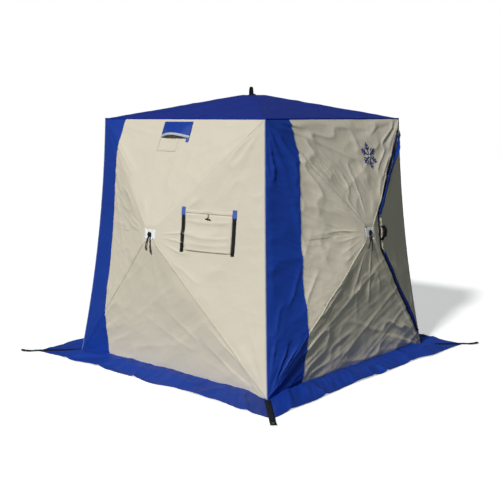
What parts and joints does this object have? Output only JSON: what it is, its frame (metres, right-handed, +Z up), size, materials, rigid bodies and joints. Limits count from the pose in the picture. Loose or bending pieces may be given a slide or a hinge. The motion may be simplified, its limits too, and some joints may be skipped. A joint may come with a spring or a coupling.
{
  "type": "ice fishing shelter",
  "caption": "Pop-up cube shelter for ice fishing, with hub-sprung rod walls and roof, zipped door, window flap, hooded vent, ground skirt and stake straps.",
  "frame": {"origin": "on the ground, at the middle of the footprint", "axes": "+Z up, -Y out of the wall with the window and vent, +X out of the wall with the door"},
  "size_m": [2.4568, 2.4568, 1.9285],
  "materials": {
    "rod": "satin",
    "hub": "moulded, slightly grained",
    "knuckle": "moulded, slightly grained",
    "wall_cloth": "coated woven polyester, matt",
    "roof_cloth": "coated woven polyester, matt",
    "skirt_cloth": "coated woven polyester, matt",
    "zip_tape": "woven tape with coil zip",
    "zip_slider": "satin black",
    "window_pane": "clear flexible sheet",
    "vent_mesh": "fine open mesh",
    "webbing": "woven webbing"
  },
  "bodies": {
    "shell": {"knuckle_top_front_right": "knuckle", "knuckle_top_back_right": "knuckle", "knuckle_top_back_left": "knuckle", "knuckle_top_front_left": "knuckle", "knuckle_bottom_front_right": "knuckle", "knuckle_bottom_back_right": "knuckle", "knuckle_bottom_back_left": "knuckle", "knuckle_bottom_front_left": "knuckle", "wall_front": "wall_cloth", "wall_right": "wall_cloth", "wall_back": "wall_cloth", "wall_left": "wall_cloth", "roof_cover": "roof_cloth", "skirt": "skirt_cloth"},
    "hub_front": {"hub_front": "hub"},
    "hub_right": {"hub_right": "hub"},
    "hub_back": {"hub_back": "hub"},
    "hub_left": {"hub_left": "hub"},
    "hub_roof": {"hub_roof": "hub"},
    "rod_front_upper_left": {"rod_front_upper_left": "rod"},
    "rod_front_upper_right": {"rod_front_upper_right": "rod"},
    "rod_front_lower_left": {"rod_front_lower_left": "rod"},
    "rod_front_lower_right": {"rod_front_lower_right": "rod"},
    "rod_right_upper_left": {"rod_right_upper_left": "rod"},
    "rod_right_upper_right": {"rod_right_upper_right": "rod"},
    "rod_right_lower_left": {"rod_right_lower_left": "rod"},
    "rod_right_lower_right": {"rod_right_lower_right": "rod"},
    "rod_back_upper_left": {"rod_back_upper_left": "rod"},
    "rod_back_upper_right": {"rod_back_upper_right": "rod"},
    "rod_back_lower_left": {"rod_back_lower_left": "rod"},
    "rod_back_lower_right": {"rod_back_lower_right": "rod"},
    "rod_left_upper_left": {"rod_left_upper_left": "rod"},
    "rod_left_upper_right": {"rod_left_upper_right": "rod"},
    "rod_left_lower_left": {"rod_left_lower_left": "rod"},
    "rod_left_lower_right": {"rod_left_lower_right": "rod"},
    "rod_roof_front_right": {"rod_roof_front_right": "rod"},
    "rod_roof_back_right": {"rod_roof_back_right": "rod"},
    "rod_roof_back_left": {"rod_roof_back_left": "rod"},
    "rod_roof_front_left": {"rod_roof_front_left": "rod"},
    "door_side": {"door_zip_tape": "zip_tape"},
    "door_panel": {"door_panel": "wall_cloth", "door_storm_flap": "roof_cloth"},
    "door_slider_upper": {"door_slider_upper": "zip_slider"},
    "door_slider_lower": {"door_slider_lower": "zip_slider"},
    "window_side": {"window_zip_frame": "zip_tape", "window_pane": "window_pane"},
    "window_flap": {"window_flap": "wall_cloth"},
    "window_slider_left": {"window_slider_left": "zip_slider"},
    "window_slider_right": {"window_slider_right": "zip_slider"},
    "vent_side": {"vent_screen": "vent_mesh"},
    "vent_hood": {"vent_hood": "wall_cloth"},
    "pull_strap_front": {"pull_strap_front": "webbing"},
    "pull_strap_right": {"pull_strap_right": "webbing"},
    "pull_strap_back": {"pull_strap_back": "webbing"},
    "pull_strap_left": {"pull_strap_left": "webbing"},
    "pull_strap_roof": {"pull_strap_roof": "webbing"},
    "stake_strap_front_right": {"stake_strap_front_right": "webbing"},
    "stake_strap_back_right": {"stake_strap_back_right": "webbing"},
    "stake_strap_back_left": {"stake_strap_back_left": "webbing"},
    "stake_strap_front_left": {"stake_strap_front_left": "webbing"}
  },
  "joints": [
    {"name": "front_hub_push", "type": "slide", "parent": "shell", "child": "hub_front", "axis": [0, -0.9961, 0.0879], "range_m": [-0.43572, 0], "deforming": ["wall_front"]},
    {"name": "right_hub_push", "type": "slide", "parent": "shell", "child": "hub_right", "axis": [0.9961, 0, 0.0879], "range_m": [-0.43572, 0], "deforming": ["wall_right"]},
    {"name": "back_hub_push", "type": "slide", "parent": "shell", "child": "hub_back", "axis": [0, 0.9961, 0.0879], "range_m": [-0.43572, 0], "deforming": ["wall_back"]},
    {"name": "left_hub_push", "type": "slide", "parent": "shell", "child": "hub_left", "axis": [-0.9961, 0, 0.0879], "range_m": [-0.43572, 0], "deforming": ["wall_left"]},
    {"name": "roof_hub_push", "type": "slide", "parent": "shell", "child": "hub_roof", "axis": [0, 0, 1], "range_m": [-0.37001, 0], "deforming": ["roof_cover"]},
    {"name": "rod_front_upper_left_hinge", "type": "hinge", "parent": "shell", "child": "rod_front_upper_left", "pos_m": [-0.68682, -0.72512, 1.62861], "axis": [0.7105, 0.0618, 0.7009], "range_deg": [0, 26.43]},
    {"name": "rod_front_upper_right_hinge", "type": "hinge", "parent": "shell", "child": "rod_front_upper_right", "pos_m": [0.68682, -0.72512, 1.62861], "axis": [0.7105, -0.0618, -0.7009], "range_deg": [0, 26.43]},
    {"name": "rod_front_lower_left_hinge", "type": "hinge", "parent": "shell", "child": "rod_front_lower_left", "pos_m": [-0.82747, -0.85952, 0.10539], "axis": [-0.7105, 0.0618, 0.7009], "range_deg": [0, 21.87]},
    {"name": "rod_front_lower_right_hinge", "type": "hinge", "parent": "shell", "child": "rod_front_lower_right", "pos_m": [0.82747, -0.85952, 0.10539], "axis": [-0.7105, -0.0618, -0.7009], "range_deg": [0, 21.87]},
    {"name": "rod_right_upper_left_hinge", "type": "hinge", "parent": "shell", "child": "rod_right_upper_left", "pos_m": [0.72512, -0.68682, 1.62861], "axis": [-0.0618, 0.7105, 0.7009], "range_deg": [0, 26.43]},
    {"name": "rod_right_upper_right_hinge", "type": "hinge", "parent": "shell", "child": "rod_right_upper_right", "pos_m": [0.72512, 0.68682, 1.62861], "axis": [0.0618, 0.7105, -0.7009], "range_deg": [0, 26.43]},
    {"name": "rod_right_lower_left_hinge", "type": "hinge", "parent": "shell", "child": "rod_right_lower_left", "pos_m": [0.85952, -0.82747, 0.10539], "axis": [-0.0618, -0.7105, 0.7009], "range_deg": [0, 21.87]},
    {"name": "rod_right_lower_right_hinge", "type": "hinge", "parent": "shell", "child": "rod_right_lower_right", "pos_m": [0.85952, 0.82747, 0.10539], "axis": [0.0618, -0.7105, -0.7009], "range_deg": [0, 21.87]},
    {"name": "rod_back_upper_left_hinge", "type": "hinge", "parent": "shell", "child": "rod_back_upper_left", "pos_m": [0.68682, 0.72512, 1.62861], "axis": [-0.7105, -0.0618, 0.7009], "range_deg": [0, 26.43]},
    {"name": "rod_back_upper_right_hinge", "type": "hinge", "parent": "shell", "child": "rod_back_upper_right", "pos_m": [-0.68682, 0.72512, 1.62861], "axis": [-0.7105, 0.0618, -0.7009], "range_deg": [0, 26.43]},
    {"name": "rod_back_lower_left_hinge", "type": "hinge", "parent": "shell", "child": "rod_back_lower_left", "pos_m": [0.82747, 0.85952, 0.10539], "axis": [0.7105, -0.0618, 0.7009], "range_deg": [0, 21.87]},
    {"name": "rod_back_lower_right_hinge", "type": "hinge", "parent": "shell", "child": "rod_back_lower_right", "pos_m": [-0.82747, 0.85952, 0.10539], "axis": [0.7105, 0.0618, -0.7009], "range_deg": [0, 21.87]},
    {"name": "rod_left_upper_left_hinge", "type": "hinge", "parent": "shell", "child": "rod_left_upper_left", "pos_m": [-0.72512, 0.68682, 1.62861], "axis": [0.0618, -0.7105, 0.7009], "range_deg": [0, 26.43]},
    {"name": "rod_left_upper_right_hinge", "type": "hinge", "parent": "shell", "child": "rod_left_upper_right", "pos_m": [-0.72512, -0.68682, 1.62861], "axis": [-0.0618, -0.7105, -0.7009], "range_deg": [0, 26.43]},
    {"name": "rod_left_lower_left_hinge", "type": "hinge", "parent": "shell", "child": "rod_left_lower_left", "pos_m": [-0.85952, 0.82747, 0.10539], "axis": [0.0618, 0.7105, 0.7009], "range_deg": [0, 21.87]},
    {"name": "rod_left_lower_right_hinge", "type": "hinge", "parent": "shell", "child": "rod_left_lower_right", "pos_m": [-0.85952, -0.82747, 0.10539], "axis": [-0.0618, 0.7105, -0.7009], "range_deg": [0, 21.87]},
    {"name": "rod_roof_front_right_hinge", "type": "hinge", "parent": "shell", "child": "rod_roof_front_right", "pos_m": [0.68664, -0.68664, 1.664], "axis": [-0.7071, -0.7071, 0], "range_deg": [0, 22.68]},
    {"name": "rod_roof_back_right_hinge", "type": "hinge", "parent": "shell", "child": "rod_roof_back_right", "pos_m": [0.68664, 0.68664, 1.664], "axis": [0.7071, -0.7071, 0], "range_deg": [0, 22.68]},
    {"name": "rod_roof_back_left_hinge", "type": "hinge", "parent": "shell", "child": "rod_roof_back_left", "pos_m": [-0.68664, 0.68664, 1.664], "axis": [0.7071, 0.7071, 0], "range_deg": [0, 22.68]},
    {"name": "rod_roof_front_left_hinge", "type": "hinge", "parent": "shell", "child": "rod_roof_front_left", "pos_m": [-0.68664, -0.68664, 1.664], "axis": [-0.7071, 0.7071, 0], "range_deg": [0, 22.68]},
    {"name": "door_side_follow", "type": "hinge", "parent": "shell", "child": "door_side", "pos_m": [0.80792, 0.8054, 0.85021], "axis": [-0.0876, -0.088, 0.9923], "range_deg": [-33.13, 0]},
    {"name": "door_swing", "type": "hinge", "parent": "door_side", "child": "door_panel", "pos_m": [0.80792, 0.8054, 0.85021], "axis": [-0.0876, -0.088, 0.9923], "range_deg": [0, 110]},
    {"name": "door_zip_upper", "type": "slide", "parent": "door_side", "child": "door_slider_upper", "axis": [-0.266, 0.6863, 0.677], "range_m": [0, 0.738]},
    {"name": "door_zip_lower", "type": "slide", "parent": "door_side", "child": "door_slider_lower", "axis": [-0.1068, 0.6812, -0.7243], "range_m": [0, 0.938]},
    {"name": "window_side_follow", "type": "hinge", "parent": "shell", "child": "window_side", "pos_m": [0.8054, -0.80792, 0.85021], "axis": [-0.088, 0.0876, 0.9923], "range_deg": [-32.95, 0]},
    {"name": "window_swing", "type": "hinge", "parent": "window_side", "child": "window_flap", "pos_m": [0.4175, -0.89608, 1.10756], "axis": [-0.9519, -0.3052, 0.0269], "range_deg": [0, 140]},
    {"name": "window_zip_left", "type": "slide", "parent": "window_side", "child": "window_slider_left", "axis": [0, 0.098, 0.9952], "range_m": [0, 0.197]},
    {"name": "window_zip_right", "type": "slide", "parent": "window_side", "child": "window_slider_right", "axis": [0, 0.1016, 0.9948], "range_m": [0, 0.197]},
    {"name": "vent_side_follow", "type": "hinge", "parent": "shell", "child": "vent_side", "pos_m": [0, -0.75023, 1.6974], "axis": [-1, 0, 0], "range_deg": [-34.56, 0]},
    {"name": "hood_swing", "type": "hinge", "parent": "vent_side", "child": "vent_hood", "pos_m": [0.0175, -0.75921, 1.68276], "axis": [-1, 0, 0], "range_deg": [0, 60]},
    {"name": "front_strap_swing", "type": "hinge", "parent": "hub_front", "child": "pull_strap_front", "pos_m": [0, -1.0031, 0.95689], "axis": [0, -0.9961, 0.0879], "range_deg": [-90, 90]},
    {"name": "right_strap_swing", "type": "hinge", "parent": "hub_right", "child": "pull_strap_right", "pos_m": [1.0031, 0, 0.95689], "axis": [0.9961, 0, 0.0879], "range_deg": [-90, 90]},
    {"name": "back_strap_swing", "type": "hinge", "parent": "hub_back", "child": "pull_strap_back", "pos_m": [0, 1.0031, 0.95689], "axis": [0, 0.9961, 0.0879], "range_deg": [-90, 90]},
    {"name": "left_strap_swing", "type": "hinge", "parent": "hub_left", "child": "pull_strap_left", "pos_m": [-1.0031, 0, 0.95689], "axis": [-0.9961, 0, 0.0879], "range_deg": [-90, 90]},
    {"name": "roof_strap_swing", "type": "hinge", "parent": "hub_roof", "child": "pull_strap_roof", "pos_m": [0, 0, 1.849], "axis": [0, 0, 1], "range_deg": [-90, 90]},
    {"name": "stake_strap_front_right_lift", "type": "hinge", "parent": "shell", "child": "stake_strap_front_right", "pos_m": [0.912, -0.912, 0.0033], "axis": [-0.7071, -0.7071, 0], "range_deg": [0, 60]},
    {"name": "stake_strap_back_right_lift", "type": "hinge", "parent": "shell", "child": "stake_strap_back_right", "pos_m": [0.912, 0.912, 0.0033], "axis": [0.7071, -0.7071, 0], "range_deg": [0, 60]},
    {"name": "stake_strap_back_left_lift", "type": "hinge", "parent": "shell", "child": "stake_strap_back_left", "pos_m": [-0.912, 0.912, 0.0033], "axis": [0.7071, 0.7071, 0], "range_deg": [0, 60]},
    {"name": "stake_strap_front_left_lift", "type": "hinge", "parent": "shell", "child": "stake_strap_front_left", "pos_m": [-0.912, -0.912, 0.0033], "axis": [-0.7071, 0.7071, 0], "range_deg": [0, 60]}
  ],
  "couplings": [
    {"joint": "rod_front_upper_left_hinge", "follows": "front_hub_push", "rad_per_m": -1.0583},
    {"joint": "rod_front_upper_right_hinge", "follows": "front_hub_push", "rad_per_m": -1.0583},
    {"joint": "rod_front_lower_left_hinge", "follows": "front_hub_push", "rad_per_m": -0.87577},
    {"joint": "rod_front_lower_right_hinge", "follows": "front_hub_push", "rad_per_m": -0.87577},
    {"joint": "rod_right_upper_left_hinge", "follows": "right_hub_push", "rad_per_m": -1.0583},
    {"joint": "rod_right_upper_right_hinge", "follows": "right_hub_push", "rad_per_m": -1.0583},
    {"joint": "rod_right_lower_left_hinge", "follows": "right_hub_push", "rad_per_m": -0.87577},
    {"joint": "rod_right_lower_right_hinge", "follows": "right_hub_push", "rad_per_m": -0.87577},
    {"joint": "rod_back_upper_left_hinge", "follows": "back_hub_push", "rad_per_m": -1.0583},
    {"joint": "rod_back_upper_right_hinge", "follows": "back_hub_push", "rad_per_m": -1.0583},
    {"joint": "rod_back_lower_left_hinge", "follows": "back_hub_push", "rad_per_m": -0.87577},
    {"joint": "rod_back_lower_right_hinge", "follows": "back_hub_push", "rad_per_m": -0.87577},
    {"joint": "rod_left_upper_left_hinge", "follows": "left_hub_push", "rad_per_m": -1.0583},
    {"joint": "rod_left_upper_right_hinge", "follows": "left_hub_push", "rad_per_m": -1.0583},
    {"joint": "rod_left_lower_left_hinge", "follows": "left_hub_push", "rad_per_m": -0.87577},
    {"joint": "rod_left_lower_right_hinge", "follows": "left_hub_push", "rad_per_m": -0.87577},
    {"joint": "rod_roof_front_right_hinge", "follows": "roof_hub_push", "rad_per_m": -1.0692},
    {"joint": "rod_roof_back_right_hinge", "follows": "roof_hub_push", "rad_per_m": -1.0692},
    {"joint": "rod_roof_back_left_hinge", "follows": "roof_hub_push", "rad_per_m": -1.0692},
    {"joint": "rod_roof_front_left_hinge", "follows": "roof_hub_push", "rad_per_m": -1.0692},
    {"joint": "door_side_follow", "follows": "right_hub_push", "rad_per_m": 1.3265},
    {"joint": "window_side_follow", "follows": "front_hub_push", "rad_per_m": 1.3196},
    {"joint": "vent_side_follow", "follows": "front_hub_push", "rad_per_m": 1.3839}
  ]
}
